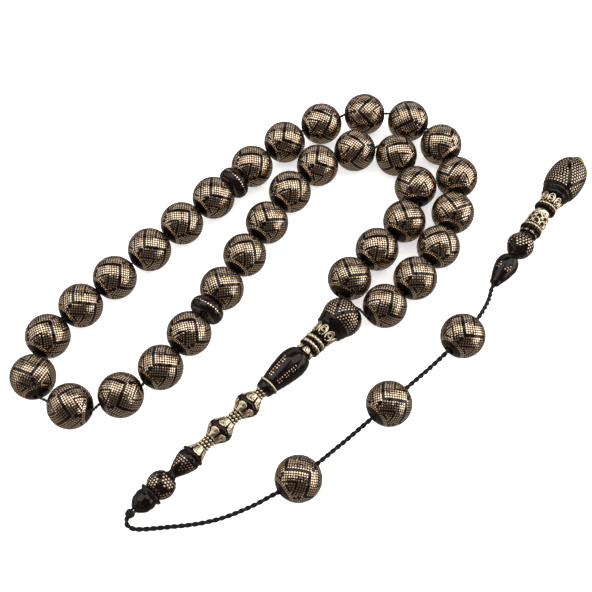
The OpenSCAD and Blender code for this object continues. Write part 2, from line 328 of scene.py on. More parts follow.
def sides_along(path, closed=False):
    """A pair of directions across the path at each point, without any spin."""
    along = directions(path, closed)
    start = Vector((0, 0, 1)) if abs(along[0].z) < 0.9 else Vector((1, 0, 0))
    across = along[0].cross(start).normalized()
    pairs = []
    for i, direction in enumerate(along):
        if i:
            across = along[i - 1].rotation_difference(direction) @ across
        across = (across - direction * across.dot(direction)).normalized()
        pairs.append((across, direction.cross(across)))
    return pairs


def add_wire(shape, path, radius, sides=8, closed=False):
    points = [
        p + radius * (math.cos(a) * u + math.sin(a) * v)
        for p, (u, v) in zip(path, sides_along(path, closed))
        for a in (math.tau * k / sides for k in range(sides))
    ]
    faces = grid_faces(len(path), sides, wrap_rows=closed)
    if not closed:
        end = len(points) - sides
        faces += [tuple(range(sides))[::-1], tuple(range(end, end + sides))]
    shape.add(points, faces)


def add_twist(shape, path, diameter, pitch, closed=False, sides=8):
    """Two strands laid round each other along a path: pitch is the length of one full turn."""
    radius = diameter / 2
    thin = 0.56 * radius
    pairs = sides_along(path, closed)
    lengths = [0.0]
    for a, b in zip(path, path[1:]):
        lengths.append(lengths[-1] + (b - a).length)
    if closed:
        whole = lengths[-1] + (path[0] - path[-1]).length
        pitch = whole / max(1, round(whole / pitch))
    for half in (0, 0.5):
        turned = [
            p + (radius - thin) * (math.cos(t) * u + math.sin(t) * v)
            for p, (u, v), t in zip(path, pairs, (math.tau * (s / pitch + half) for s in lengths))
        ]
        add_wire(shape, turned, thin, sides, closed)


def even_steps(path, step):
    """The same path with a point every step."""
    spaced, left = [path[0]], step
    for a, b in zip(path, path[1:]):
        length = (b - a).length
        while left < length:
            spaced.append(a.lerp(b, left / length))
            left += step
        left -= length
    return spaced + [path[-1]]


# %% [markdown]
# ## The tail cord
# The cord leaves the knot under the head, dips to the table, climbs into the first counter bead and hangs in
# shallow sags between the beads, because they hold it half a bead above the table. It ends inside the
# pendant. The route is one smooth curve through listed points, and two waxed strands are laid round it, with
# about one turn in two and a half diameters.

# %% Tail cord
def spline(p, t):
    """A point on the smooth curve through the points p; whole values of t fall on the points."""
    i = min(int(t), len(p) - 2)
    f = t - i
    b, c = p[i], p[i + 1]
    a = p[i - 1] if i else 2 * b - c
    d = p[i + 2] if i + 2 < len(p) else 2 * c - b
    cubic = 3 * b - a - 3 * c + d
    return (2 * b + (c - a) * f + (2 * a - 5 * b + 4 * c - d) * f * f + cubic * f ** 3) / 2


joint_of = {joint["child"]: joint for joint in frame["joints"]}


class Axis:
    """The line that a row of turned pieces is threaded on, with stations in millimetres along it."""

    def __init__(self, body, station):
        self.along = Vector(joint_of[body]["axis"]).normalized()
        self.foot = Vector(joint_of[body]["pos_m"]) / MM - self.along * station

    def at(self, station):
        return self.foot + self.along * station

    def place(self):
        turn = self.along.to_track_quat("Z", "Y").to_matrix().to_4x4()
        return Matrix.Translation(self.foot * MM) @ turn


HEAD_BALL_AT = 7.5
PENDANT_BALL_AT = 11.9
HEAD = Axis("head_ball", HEAD_BALL_AT)
PENDANT = Axis("pendant_ball", PENDANT_BALL_AT)

TAIL_ROUTE = [Vector(p) for p in (
    (-38.2, -52.2, 2.6), (-39, -53.2, 2.1), (-38.9, -54.3, 1.4), (-37.6, -54.9, 0.8),
    (-35.5, -54.9, 0.6), (-33, -54.7, 0.6), (-30, -54.4, 0.6), (-27, -54.1, 0.6), (-24, -53.7, 0.7),
    (-21, -53.2, 1.2), (-18, -52.5, 2), (-15, -51.6, 3), (-12, -50.5, 4), (-9.5, -49.3, 4.7),
    (-7, -48, 5), (-3.5, -45.5, 5), (0.5, -42.2, 5), (3.5, -39.6, 4.8), (6.5, -37, 4.6),
    (9.5, -34.4, 4.8), (12.3, -32, 5), (16, -28.7, 5), (19.8, -25.2, 5), (22.2, -23, 4.8),
    (24.7, -20.7, 4.6), (27.2, -18.4, 4.8), (29.5, -16.2, 5), (33, -12.5, 5), (36.2, -8.8, 4.9),
    (38.3, -5.6, 4.3), (39.8, -2.6, 3.4), (40.8, 0.4, 2.7),
)]
CORD_D = 1.1
CORD_PITCH = 2.9
STOP_KNOT_AT = 37.3

smooth_route = [spline(TAIL_ROUTE, k / 8) for k in range(8 * (len(TAIL_ROUTE) - 1) + 1)]
tail_path = even_steps(smooth_route + [PENDANT.at(0.3), PENDANT.at(STOP_KNOT_AT)], 0.2)
tail_shape = Shape()
add_twist(tail_shape, tail_path, CORD_D, CORD_PITCH)
still = Matrix.Identity(4)
tail = show("tail_cord_laid", tail_shape.mesh("tail_cord", [CORD]), still, "strings", ["tail_cord"])
tail_length = sum((b - a).length for a, b in zip(tail_path, tail_path[1:])) * MM
tail_path[0] * MM
[p * MM for p in tail_path]
print("tail cord:", round(tail_length / MM), "mm long")

# %% [markdown]
# ## The thin string
# One string runs through every bead and disc of the loop, and both its ends go down through the head to
# the knot. It shows only in the short bare stretches. Its route is worked out from the frame: each
# bead's joint gives the bead's middle and the direction of its bore, so the string goes in at one side
# of the bead and out at the other.

# %% Thin string
BEAD_R = 5.0
DISC_HUB = 1.15
STRING_D = 0.7
MOUTH_AT = 65.6
STRING_ASIDE = 0.38

beads = [f"bead_{n:02d}" for n in range(1, 34)]
discs = ["divider_disc_1", "divider_disc_2"]
threading = beads[:11] + discs[:1] + beads[11:22] + discs[1:] + beads[22:]


def middle_and_bore(body):
    return Vector(joint_of[body]["pos_m"]) / MM, Vector(joint_of[body]["axis"])


def beside_head(station, aside):
    return HEAD.at(station) + STRING_ASIDE * aside * HEAD.along.cross(Vector((0, 0, 1))).normalized()


string_path = [beside_head(-1, 1), beside_head(MOUTH_AT + 0.3, 1), beside_head(MOUTH_AT + 0.6, 4)]
for body in threading:
    middle, bore = middle_and_bore(body)
    half = DISC_HUB if body in discs else BEAD_R
    string_path += [middle - bore * half, middle + bore * half]
string_path += [beside_head(MOUTH_AT + 0.6, -4), beside_head(MOUTH_AT + 0.3, -1), beside_head(-1, -1)]
string_path = even_steps(string_path, 0.3)
string_shape = Shape()
add_twist(string_shape, string_path, STRING_D, 1.6, sides=6)
show("loop_string_laid", string_shape.mesh("loop_string", [STRING]), still, "strings", ["loop_string"])
print("thin string:", len(string_path), "steps")

# %% [markdown]
# ## Knots
# The knot under the head and the one inside the pendant are overhand knots pulled tight: a few turns of
# the same cord wrapped over each other in a ball. A path that circles a small ball while its plane tips
# round makes them.

# %% Knots
def knot_path(middle, along, size, turns):
    turn = along.to_track_quat("Z", "Y")
    steps = 40 * turns
    path = []
    for k in range(steps):
        a = math.tau * turns * k / steps
        tip = 0.9 * math.sin(a * (turns + 1) / turns)
        flat = Vector((math.cos(a) * math.cos(tip), math.sin(a) * math.cos(tip), math.sin(tip)))
        path.append(middle + turn @ (flat * size))
    return path


HEAD_KNOT_AT = -1.15
KNOT_SIZE, KNOT_STRAND = 0.6, 0.46

knots = Shape()
for axis, station in ((HEAD, HEAD_KNOT_AT), (PENDANT, STOP_KNOT_AT)):
    add_wire(knots, knot_path(axis.at(station), axis.along, KNOT_SIZE, 3), KNOT_STRAND, 10, closed=True)
show("cord_knots_tied", knots.mesh("cord_knots", [CORD]), still, "strings", ["cord_knots"])
print("knots:", len(knots.faces), "faces")

# %% [markdown]
# ## Silver pins
# The inlay is made by drilling a hole for each pin, driving in silver wire and filing it flush, so each
# pin shows a round face that follows the surface. A pin here is a shallow dome of eight sides whose crown
# stands a few hundredths of a millimetre proud. A texture would smear such small dots in a close view.

# %% One pin
PIN_SIDES = 8


def add_pin(shape, point, out, radius, dome=0.15):
    """A pin whose face looks along out. dome is the height of its crown over its radius."""
    across = out.orthogonal().normalized()
    beside = out.cross(across)
    rim = [
        point + out * 0.008 + radius * (math.cos(a) * across + math.sin(a) * beside)
        for a in (math.tau * k / PIN_SIDES for k in range(PIN_SIDES))
    ]
    faces = [(k, (k + 1) % PIN_SIDES, PIN_SIDES) for k in range(PIN_SIDES)]
    shape.add(rim + [point + out * (0.01 + dome * radius)], faces, 1)


# %% [markdown]
# ## The pattern of a bead
# The maker marks the bead like a globe whose poles are the ends of its bore. A thick plain line zigzags
# round the equator through eight corners, and a thinner one runs beside it nearer each pole. The pins are
# set in rows that run parallel to the legs of the zigzag, so the lines are simply wider gaps between two
# rows. Rows of neighbouring legs meet cleanly inside a corner and leave a fine seam outside it. Two rings
# of pins edge the plain cap round each hole.

# %% Pins of a bead
PITCH = 0.54
PIN_R = 0.2
STEP = math.degrees(PITCH / BEAD_R)
CORNER = 45.0
MAIN_LAT = 20.0
MAIN_GAP, FINE_GAP, SEAM_GAP = 6.1, 2.9, 2.6
ROWS_INSIDE, ROWS_OUTSIDE = 4, 4
LONGEST_ROW = 60
TILT = 0.05
CAP_ROWS = (56.0, 51.0)


def direction(lat, lon):
    lat, lon = math.radians(lat), math.radians(lon)
    return Vector((math.cos(lat) * math.cos(lon), math.cos(lat) * math.sin(lon), math.sin(lat)))


def leg_pins():
    """Latitude and longitude of the pins between the meridians of a southern and a northern corner."""
    foot = direction(-MAIN_LAT, CORNER)
    aside = direction(MAIN_LAT, 0).cross(foot).normalized()
    aside = aside if aside.z > 0 else -aside
    ahead = foot.cross(aside) if foot.cross(aside).x > 0 else aside.cross(foot)
    east = direction(0, CORNER + 90)
    found = []
    for row in range(ROWS_INSIDE + ROWS_OUTSIDE):
        off = math.radians(MAIN_GAP + STEP * row + (FINE_GAP if row >= ROWS_INSIDE else 0))
        start = math.asin(min(1, -math.tan(off) * aside.dot(east) / ahead.dot(east)))
        for k in range(LONGEST_ROW):
            s = start + k * math.radians(STEP) / math.cos(off)
            way = math.cos(off) * (math.cos(s) * foot + math.sin(s) * ahead) + math.sin(off) * aside
            if way.y < math.sin(math.radians(SEAM_GAP)):
                break
            lat = math.degrees(math.asin(way.z))
            if lat < CAP_ROWS[1] - 0.75 * STEP:
                found.append((lat, math.degrees(math.atan2(way.y, way.x)), k == 0))
    return found


def bead_pins():
    pins = []
    for pole, turn in ((1, 0), (-1, CORNER)):
        for lat, lon, on_mitre in leg_pins():
            for quarter in range(4):
                pins.append(direction(pole * lat, lon + turn + 90 * quarter))
                if not on_mitre:
                    pins.append(direction(pole * lat, 2 * CORNER - lon + turn + 90 * quarter))
        for lat in CAP_ROWS:
            count = round(360 * math.cos(math.radians(lat)) / STEP)
            pins += [direction(pole * lat, 360 * k / count) for k in range(count)]
    return pins


pin_ways = bead_pins()
print("pins on one bead:", len(pin_ways))

# %% [markdown]
# ## The bead
# Under the pins a bead is one turned body: an outline of radius and height, spun round the bore. Its
# hole has an eased mouth, where the string rubs. All thirty-six beads share one mesh, as the real ones
# share one jig, and each is rolled by a different amount on its string, because nothing holds them.

# %% Bead meshes
BORE_R = 1.0


def add_turned(shape, outline, segments=64, finish=0, closed=False, swell=None):
    """An outline of (radius, height) spun round Z. swell(angle, radius, height) may change the radius."""
    points = [
        (r * math.cos(a), r * math.sin(a), z)
        for base, z in outline
        for a in (math.tau * k / segments for k in range(segments))
        for r in (swell(a, base, z) if swell else base,)
    ]
    shape.add(points, grid_faces(len(outline), segments, wrap_rows=closed), finish)


def ball_outline(radius, low, high, count):
    """Part of a ball's outline between two latitudes in degrees."""
    lats = [math.radians(low + (high - low) * k / count) for k in range(count + 1)]
    return [(radius * math.cos(lat), radius * math.sin(lat)) for lat in lats]


bead_shape = Shape()
skin = ball_outline(BEAD_R - 0.01, -74, 74, 36)
mouth = [(1.22, 4.86), (1.06, 4.74), (BORE_R, 4.5)]
lower = [(r, -z) for r, z in reversed(mouth)]
add_turned(bead_shape, lower + skin + mouth, closed=True)
dice = random.Random(5)
for way in pin_ways:
    lean = Vector((dice.gauss(0, TILT), dice.gauss(0, TILT), dice.gauss(0, TILT)))
    add_pin(bead_shape, way * (BEAD_R - 0.01), (way + lean).normalized(), PIN_R)
bead_mesh = bead_shape.mesh("inlaid_bead", [JET, PIN_SILVER])


def stand(middle, bore, roll_degrees):
    turn = Vector(bore).to_track_quat("Z", "Y").to_matrix().to_4x4()
    return Matrix.Translation(middle * MM) @ turn @ Matrix.Rotation(math.radians(roll_degrees), 4, "Z")


ROLL, COUNTER_ROLL = 137.5, 200
for n, name in enumerate(beads):
    middle, bore = middle_and_bore(name)
    show(name + "_inlaid", bead_mesh, stand(middle, bore, ROLL * n), name, [name])

for n in (1, 2, 3):
    name = f"counter_bead_{n}"
    low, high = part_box(name)
    middle = (Vector(low) + Vector(high)) / 2 / MM
    place = stand(middle, joint_of[name]["axis"], COUNTER_ROLL * n)
    show(name + "_inlaid", bead_mesh, place, name, [name])
print("faces on one bead:", len(bead_shape.faces))

# %% [markdown]
# ## The divider discs
# A divider is a flat jet wheel, dished on both faces so that it nests against its neighbours, with one
# row of pins round its rounded rim.

# %% Divider discs
DISC_RIM, DISC_HALF = 4.0, 1.6
DISC_PINS = 36

disc_shape = Shape()
rim = [(DISC_RIM - 1 + math.cos(a), DISC_HALF * math.sin(a)) for a in
       (math.radians(-90 + 12 * k) for k in range(16))]
face = [(2.6, DISC_HALF - 0.12), (2.2, DISC_HUB + 0.12), (1.7, DISC_HUB), (BORE_R + 0.15, DISC_HUB),
        (BORE_R, DISC_HUB - 0.15)]
add_turned(disc_shape, [(r, -z) for r, z in reversed(face)] + rim + face, 72, closed=True)
for k in range(DISC_PINS):
    out = direction(0, 360 * k / DISC_PINS)
    add_pin(disc_shape, out * DISC_RIM, out, 0.18)
disc_mesh = disc_shape.mesh("divider_disc", [JET, PIN_SILVER])
for name in discs:
    middle, bore = middle_and_bore(name)
    show(name + "_inlaid", disc_mesh, stand(middle, bore, 0), name, [name])

# %% [markdown]
# ## Turned pieces with pins
# The eggs, pears, cones and balls of the head and the pendant are turned like the beads, and their pins
# follow simple rules: a pin is laid at an angle and a station, on the surface, facing out along its
# normal. `Turning` keeps an outline and finds the radius and the normal anywhere on it.

# %% Turning
def curve_between(r0, s0, r1, s1, rise, count=10):
    """An outline from one radius to another that swells by rise on the way."""
    return [
        (r0 + (r1 - r0) * f + rise * math.sin(math.pi * f), s0 + (s1 - s0) * f)
        for f in (k / count for k in range(count + 1))
    ]


def rounding(r0, s0, r1, s1, count=12):
    """A quarter round that leaves straight up and ends level."""
    return [
        (r1 + (r0 - r1) * math.cos(a), s0 + (s1 - s0) * math.sin(a))
        for a in (math.pi / 2 * k / count for k in range(count + 1))
    ]


class Turning:
    def __init__(self, outline, hole, segments=64, swell=None):
        self.outline = outline
        self.shape = Shape()
        inner = [(hole, outline[-1][1]), (hole, outline[0][1])]
        add_turned(self.shape, outline + inner, segments, closed=True, swell=swell)

    def radius(self, station):
        for (r0, s0), (r1, s1) in zip(self.outline, self.outline[1:]):
            if s0 <= station <= s1 and s1 > s0:
                return r0 + (r1 - r0) * (station - s0) / (s1 - s0)
        return self.outline[-1][0]

    def pin(self, angle, station, size):
        r = self.radius(station)
        slope = (self.radius(station + 0.15) - self.radius(station - 0.15)) / 0.3
        out = Vector((math.cos(angle), math.sin(angle), -slope)).normalized()
        at = Vector((r * math.cos(angle), r * math.sin(angle), station))
        add_pin(self.shape, at, out, size, dome=0.4)

    def rows(self, low, high, pitch, size, plain, sectors=8):
        """Staggered rows of pins from one station to another, left out where plain(turn, share) says."""
        station, row = low, 0
        while station <= high:
            count = sectors * max(1, round(math.tau * self.radius(station) / pitch / sectors))
            for k in range(count):
                turn = (k + 0.5 * (row % 2)) / count
                if not plain(turn, (station - low) / (high - low)):
                    self.pin(math.tau * turn, station, size)
            slope = (self.radius(station + 0.1) - self.radius(station - 0.1)) / 0.2
            station += 0.87 * pitch / math.hypot(1, slope)
            row += 1


def zig(turn, corners):
    """A line that goes from 0 up to 1 and back, corners times in one turn."""
    part = turn * corners % 1
    return 1 - abs(2 * part - 1)


def show_turned(turning, name, axis):
    mesh = turning.shape.mesh(name, [JET, PIN_SILVER])
    show(name + "_turned", mesh, axis.place(), name, [name])


# %% [markdown]
# ## The head's jet pieces
# Above the knot come a grooved tip, a dotted ball and a cone that carries six triangles of pins. The
# outlines are lists of radius and station, with `curve_between` for the bellies and `rounding` for the
# shoulders. Plain bands are left between the ball's dots, as on the beads.

# %% Tip, ball and cone
SEAM = 0.05
tip = Turning(
    [(0.95, SEAM)] + curve_between(1.05, 0.2, 2.35, 2.5, 0.38) + [(2.5, 3.0), (2.46, 3.5), (2.3, 3.8),
     (2.28, 4.1), (2.6, 4.35), (2.78, 4.5), (2.78, 4.85), (2.68, 5 - SEAM)], 0.9)
show_turned(tip, "head_tip", HEAD)

BALL_R = 3.1
ball = Turning([(r, HEAD_BALL_AT + z) for r, z in ball_outline(BALL_R, -53, 53, 24)], 0.9)
ball.rows(5.3, 9.7, 0.72, 0.21, lambda turn, share: abs(0.2 + 0.7 * zig(turn, 3) - share) < 0.17, 3)
show_turned(ball, "head_ball", HEAD)

cone = Turning(
    [(1.2, 10 + SEAM), (1.32, 10.2), (1.25, 10.4), (1.08, 10.6)] + curve_between(1.13, 11, 2.62, 15, 0.17)
    + rounding(2.64, 15.2, 2.2, 16.1) + [(2.7, 16.2), (2.75, 16.5), (2.7, 16.8 - SEAM)], 0.95)
for side in range(6):
    for row in range(5):
        for k in range(row + 1):
            station = 12.1 + 0.6 * row
            cone.pin(math.tau * side / 6 + (k - row / 2) * 0.6 / cone.radius(station), station, 0.17)
show_turned(cone, "head_cone", HEAD)
print("pins on the ball and the cone:", [t.shape.finish_of.count(1) // PIN_SIDES for t in (ball, cone)])

# %% [markdown]
# ## Pear and egg
# The pear's jet is left mostly bare: six columns of small clusters climb it, and a groove near its foot
# leaves room for a ring of twisted wire. The egg is the widest piece of the head. Its foot seats in the
# crown, two plain steps widen it, and its dots are laid in staggered rows from which a zigzag of bare jet
# is left out, so that it belongs with the beads.

# %% Pear and egg
PEAR_R = 3.35
pear = Turning(
    [(1.85, 37.1 + SEAM)] + curve_between(1.9, 37.3, 2.15, 38.4, 0.05, 4)
    + [(2.1, 38.55), (1.92, 38.6), (1.92, 39.3), (2.15, 39.4)]
    + curve_between(2.25, 39.5, PEAR_R - 0.05, 45.3, 0.12, 14)
    + rounding(PEAR_R, 45.8, 1.9, 49.4 - SEAM, 16), 0.95)
PEAR_PHASE = 0.15
for side in range(6):
    for step in range(3):
        for a, b in ((0, 0), (0, 1), (1, 0), (1, 1), (2, 1)):
            station = 40.5 + 1.9 * step + 0.62 * a
            lean = (0.31 - 0.62 * b) / pear.radius(station)
            pear.pin(math.tau * (side + PEAR_PHASE) / 6 + lean, station, 0.17)
show_turned(pear, "head_pear", HEAD)

EGG_R = 4.6
egg = Turning(
    [(2.45, 56.4), (2.6, 57.45), (3.3, 57.55), (3.45, 57.7), (3.52, 58.6), (3.72, 58.7), (3.9, 59.5),
     (3.95, 59.65)]
    + curve_between(EGG_R - 0.6, 59.72, EGG_R, 61.8, 0.1) + rounding(EGG_R, 61.9, 1.35, MOUTH_AT - SEAM, 18),
    1.1, 80)
egg.rows(59.85, 65.3, 0.72, 0.195, lambda turn, share: abs(0.95 * zig(turn, 4) - share) < 0.1, 4)
show_turned(egg, "head_egg", HEAD)
print("pins on the egg:", egg.shape.finish_of.count(1) // PIN_SIDES)

# %% [markdown]
# ## Silver ornament
# Between the jet pieces sit cast and wired silver: petal caps with a raised edge on each petal, barrels
# of soldered grains, toothed washers, twisted wire rings and a crown of arches. Each is a shape made
# from a few repeats round the axis: a petal, a grain, a tooth, an arch.

# %% Petals, grains, teeth and arches
def add_petals(shape, radius_at, base, tip, petals, wall, relief, depth=0.45):
    """A thin shell over radius_at from station base to tip, whose edge is cut into petals.
    A rib follows the edge of each petal and another its middle; the clefts take the second finish."""
    columns, rows = petals * 20, 12
    points = []
    for row in range(rows + 2):
        for column in range(columns):
            turn = column / columns
            petal = abs(math.sin(math.pi * petals * turn))
            end = base + (tip - base) * (1 - depth + depth * petal ** 0.5)
            share = min(row, rows) / rows
            station = base + (end - base) * share
            edge = math.exp(-((share - 0.88) / 0.1) ** 2)
            seam = math.exp(-((1 - petal) / 0.08) ** 2) * (1 - share)
            gap = math.exp(-(petal / 0.3) ** 2)
            lift = wall + relief * (edge + 0.7 * seam - 0.5 * gap * (1 - edge))
            if row > rows:
                lift = -0.02
            angle = math.tau * turn
            r = radius_at(station) + lift
            points.append((r * math.cos(angle), r * math.sin(angle), station))
    faces = grid_faces(rows + 2, columns)
    shape.add(points, faces)
    for k, face in enumerate(faces):
        if abs(math.sin(math.pi * petals * (face[0] % columns + 0.5) / columns)) < 0.3:
            shape.finish_of[k - len(faces)] = 1


def add_grain(shape, middle, radius, stretch=1.0):
    """A small ball of silver, or an oval one if stretch is not 1."""
    sides = 10
    rings = ball_outline(radius, -80, 80, 6)
    points = [
        middle + Vector((r * math.cos(a), r * math.sin(a), z * stretch))
        for r, z in rings for a in (math.tau * k / sides for k in range(sides))
    ]
    end = len(points) - sides
    ends = [tuple(range(sides))[::-1], tuple(range(end, end + sides))]
    shape.add(points, grid_faces(len(rings), sides) + ends)


def ring_path(radius, station, steps=160):
    return [
        Vector((radius * math.cos(a), radius * math.sin(a), station))
        for a in (math.tau * k / steps for k in range(steps))
    ]


def add_rope_ring(shape, radius, station, wire, pitch):
    add_twist(shape, ring_path(radius, station), wire, pitch, closed=True)


def add_toothed(shape, radius, low, high, teeth):
    def cut(angle, r, z):
        return r - 0.22 * max(0, math.cos(teeth * angle)) ** 2 if r > radius - 0.1 else r
    outline = [(1.4, low), (radius - 0.09, low), (radius, low + 0.12), (radius, high - 0.12),
               (radius - 0.09, high), (1.4, high)]
    add_turned(shape, outline, teeth * 8, 1, closed=True, swell=cut)


def add_arches(shape, radius_at, low, high, count, wire, ball=0.2):
    """Round-headed arches of wire standing on a surface, each with a small ball at its foot."""
    wide = math.tau * radius_at(low) / count / radius_at((low + high) / 2)
    for k in range(count):
        turn = math.tau * k / count
        path = []
        for step in range(21):
            a = math.radians(-50 + 280 * step / 20)
            station = (low + high) / 2 + (high - low) / 2 * math.sin(a) * 0.9
            angle = turn + 0.42 * wide * math.cos(a)
            r = radius_at(station) + 0.4 * wire
            path.append(Vector((r * math.cos(angle), r * math.sin(angle), station)))
        add_wire(shape, path, wire)
        r = radius_at(low + 0.3)
        add_grain(shape, Vector((r * math.cos(turn), r * math.sin(turn), low + 0.35)), ball)


def add_eyelets(shape, radius_at, station, count, size, wire, phase=0.0):
    """Round eyelets of wire lying on a surface, each with a grain at one side."""
    for k in range(count):
        turn = math.tau * (k + phase) / count
        path = []
        for step in range(24):
            a = math.tau * step / 24
            r = radius_at(station + size * math.sin(a)) + 0.5 * wire
            angle = turn + size * math.cos(a) / r
            path.append(Vector((r * math.cos(angle), r * math.sin(angle), station + size * math.sin(a))))
        add_wire(shape, path, wire, closed=True)
        r = radius_at(station - 0.5 * size) + 0.1
        at = Vector((r * math.cos(turn), r * math.sin(turn), station - 0.5 * size))
        add_grain(shape, at, 0.75 * wire)


def add_hole_shade_dots(shape, radius_at, station, count, size, phase):
    """Flat round dark patches on a surface: painted shade for the hole inside an eyelet."""
    for k in range(count):
        turn = math.tau * (k + phase) / count
        r = radius_at(station) + 0.06
        slope = (radius_at(station + 0.1) - radius_at(station - 0.1)) / 0.2
        out = Vector((math.cos(turn), math.sin(turn), -slope)).normalized()
        add_pin(shape, Vector((r * math.cos(turn), r * math.sin(turn), station)), out, size, dome=0.3)


def straight(r0, s0, r1, s1):
    """The radius along a straight stretch from one station to another."""
    return lambda station: r0 + (r1 - r0) * (station - s0) / (s1 - s0)


sample = Shape()
add_eyelets(sample, straight(2, 0, 2, 1), 0.5, 1, 0.5, 0.12)
print("faces in one eyelet and its grain:", len(sample.faces))

# %% [markdown]
# ## Silver of the head
# The waisted beads are two short cones of jet set base to base. A petal cap covers each cone up to the plain
# black waist between them. A cap is a thin shell whose far edge is cut into petals, with an eyelet on each
# petal, a dark patch of painted shade for the hole inside each eyelet, and a rope ring at the narrow end.

# %% Waisted beads and their caps
WAIST_R, WAIST_HALF = 2.9, 2.8
EYELET_AT = 1.2
CAP_PETALS = 6


def waist_radius(away):
    """Radius of a waisted bead at a distance from its middle."""
    slope = (WAIST_R - 0.35 - 1.35) / (WAIST_HALF - 0.55)
    return 1.35 + slope * (WAIST_HALF - away)


for n, station in ((1, 32.5), (2, 24.4)):
    half = [(WAIST_R, 0.15), (WAIST_R - 0.1, 0.42), (WAIST_R - 0.35, 0.6), (1.35, WAIST_HALF - SEAM)]
    body = Turning([(r, station - z) for r, z in reversed(half)] + [(r, station + z) for r, z in half], 0.95)
    show_turned(body, f"waist_bead_{n}", HEAD)
    caps = Shape()
    for side in (-1, 1):
        add_petals(caps, lambda s: waist_radius(abs(s - station)), station + side * (WAIST_HALF - SEAM),
                   station + side * 0.45, CAP_PETALS, 0.12, 0.25)
        add_eyelets(caps, lambda s: waist_radius(abs(s - station)) + 0.1, station + side * EYELET_AT,
                    CAP_PETALS, 0.52, 0.12, 0.5)
        # a dark patch in each eyelet: painted shade for its hole
        add_hole_shade_dots(caps, lambda s: waist_radius(abs(s - station)) + 0.02, station + side * EYELET_AT,
                 CAP_PETALS, 0.42, 0.5)
        add_rope_ring(caps, 1.5, station + side * (WAIST_HALF - 0.25), 0.36, 0.8)
    show(f"waist_caps_{n}_cast", caps.mesh(f"waist_caps_{n}", [CAST_SILVER, DARK_SILVER_AND_HOLE_SHADE]), HEAD.place(),
         f"waist_bead_{n}", [f"waist_caps_{n}"])

# %% [markdown]
# ## Barrels, cone cap and pear ring
# Short barrels of soldered grains keep the waisted beads apart. A row is set half a grain round from the
# one below, and the grains nearly touch, so a blackened tube inside them is all that is needed to close
# the gaps. The cone is crowned by one more petal cap, and a ring of twisted wire lies in the groove at
# the foot of the pear.

# %% Barrels, cone cap and pear ring
barrels = Shape()
for low, high, rows in ((19.2, 21.6, 3), (27.2, 29.7, 3), (35.3, 37.1, 2)):
    add_turned(barrels, [(1.02, low + SEAM), (1.15, low + SEAM), (1.15, high - SEAM), (1.02, high - SEAM)],
               32, 1, closed=True)
    tall = (high - low) / rows
    for row in range(rows):
        for k in range(9):
            angle = math.tau * (k + 0.5 * (row % 2)) / 9
            at = Vector((1.12 * math.cos(angle), 1.12 * math.sin(angle), low + tall * (row + 0.5)))
            add_grain(barrels, at, 0.34, 1.05)
show("granule_barrels_soldered", barrels.mesh("granule_barrels", [CAST_SILVER, DARK_SILVER_AND_HOLE_SHADE]), HEAD.place(),
     "strings", ["granule_barrels"])

cap = Shape()
add_petals(cap, straight(1.15, 19.2, 2.0, 16.8), 19.1, 16.85, 5, 0.16, 0.25, 0.35)
add_eyelets(cap, straight(1.3, 19.2, 2.15, 16.8), 17.75, 5, 0.5, 0.12, 0.5)
# a dark patch in each eyelet: painted shade for its hole
add_hole_shade_dots(cap, straight(1.2, 19.2, 2.05, 16.8), 17.75, 5, 0.36, 0.5)
add_rope_ring(cap, 1.35, 18.9, 0.45, 0.8)
add_turned(cap, [(1.02, 17.0), (1.6, 16.95), (1.15, 19.15), (1.02, 19.15)], 32, closed=True)
show("cone_cap_cast", cap.mesh("cone_cap", [CAST_SILVER, DARK_SILVER_AND_HOLE_SHADE]), HEAD.place(), "strings",
     ["cone_cap"])

ring = Shape()
add_rope_ring(ring, 2.2, 38.95, 0.62, 0.9)
show("pear_ring_twisted", ring.mesh("pear_ring", [CAST_SILVER]), HEAD.place(), "head_pear", ["pear_ring"])
print("grains on the barrels:", sum(9 * rows for rows in (3, 3, 2)))

# %% [markdown]
# ## Washers, ropes and crown
# Between the pear and the egg stand three toothed washers, two thick rings of twisted wire and a crown of
# round arches. The parts that lie deep are given the blackened finish, so the bright wire stands out
# against them, as it does on the real piece.

# %% Washers, ropes and crown
spacer = Shape()
add_turned(spacer, [(1.02, 49.5), (1.8, 49.5), (1.6, 51), (1.6, 54.3), (1.02, 54.3)], 48, 1, closed=True)
add_petals(spacer, straight(1.62, 51, 1.9, 49.5), 51, 49.5, 5, 0.06, 0.2, 0.5)
add_eyelets(spacer, straight(1.7, 51, 2.0, 49.5), 50.25, 5, 0.62, 0.15, 0.5)
add_toothed(spacer, 2.5, 51.05, 51.55, 20)
add_rope_ring(spacer, 2.12, 52.0, 1.0, 1.7)
add_toothed(spacer, 2.5, 52.5, 53.0, 20)
add_rope_ring(spacer, 2.14, 53.5, 1.0, 1.7)
add_toothed(spacer, 2.5, 53.95, 54.3, 20)
show("ring_spacer_built", spacer.mesh("ring_spacer", [CAST_SILVER, DARK_SILVER_AND_HOLE_SHADE]), HEAD.place(), "strings",
     ["ring_spacer"])

ARCHES = 8
crown_radius = straight(2.3, 54.4, 2.72, 57.4)
crown = Shape()
add_turned(crown, [(1.02, 54.5), (2.3, 54.5), (2.62, 56.9), (2.56, 56.9), (2.5, 56.3), (1.02, 56.3)], 64, 1,
           closed=True)
add_arches(crown, crown_radius, 54.45, 57.4, ARCHES, 0.17, 0.2)
add_eyelets(crown, crown_radius, 56.2, ARCHES, 0.5, 0.13)
show("crown_collar_built", crown.mesh("crown_collar", [CAST_SILVER, DARK_SILVER_AND_HOLE_SHADE]), HEAD.place(), "strings",
     ["crown_collar"])
print("silver on the head is done")

# %% [markdown]
# ## The pendant
# The cord goes into a drop, on through a fluted and dotted ball and two silver collars, and ends in an
# egg, closed by a brass stud. The flutes are cut into the turned outline by making its radius rise and
# fall round the axis.

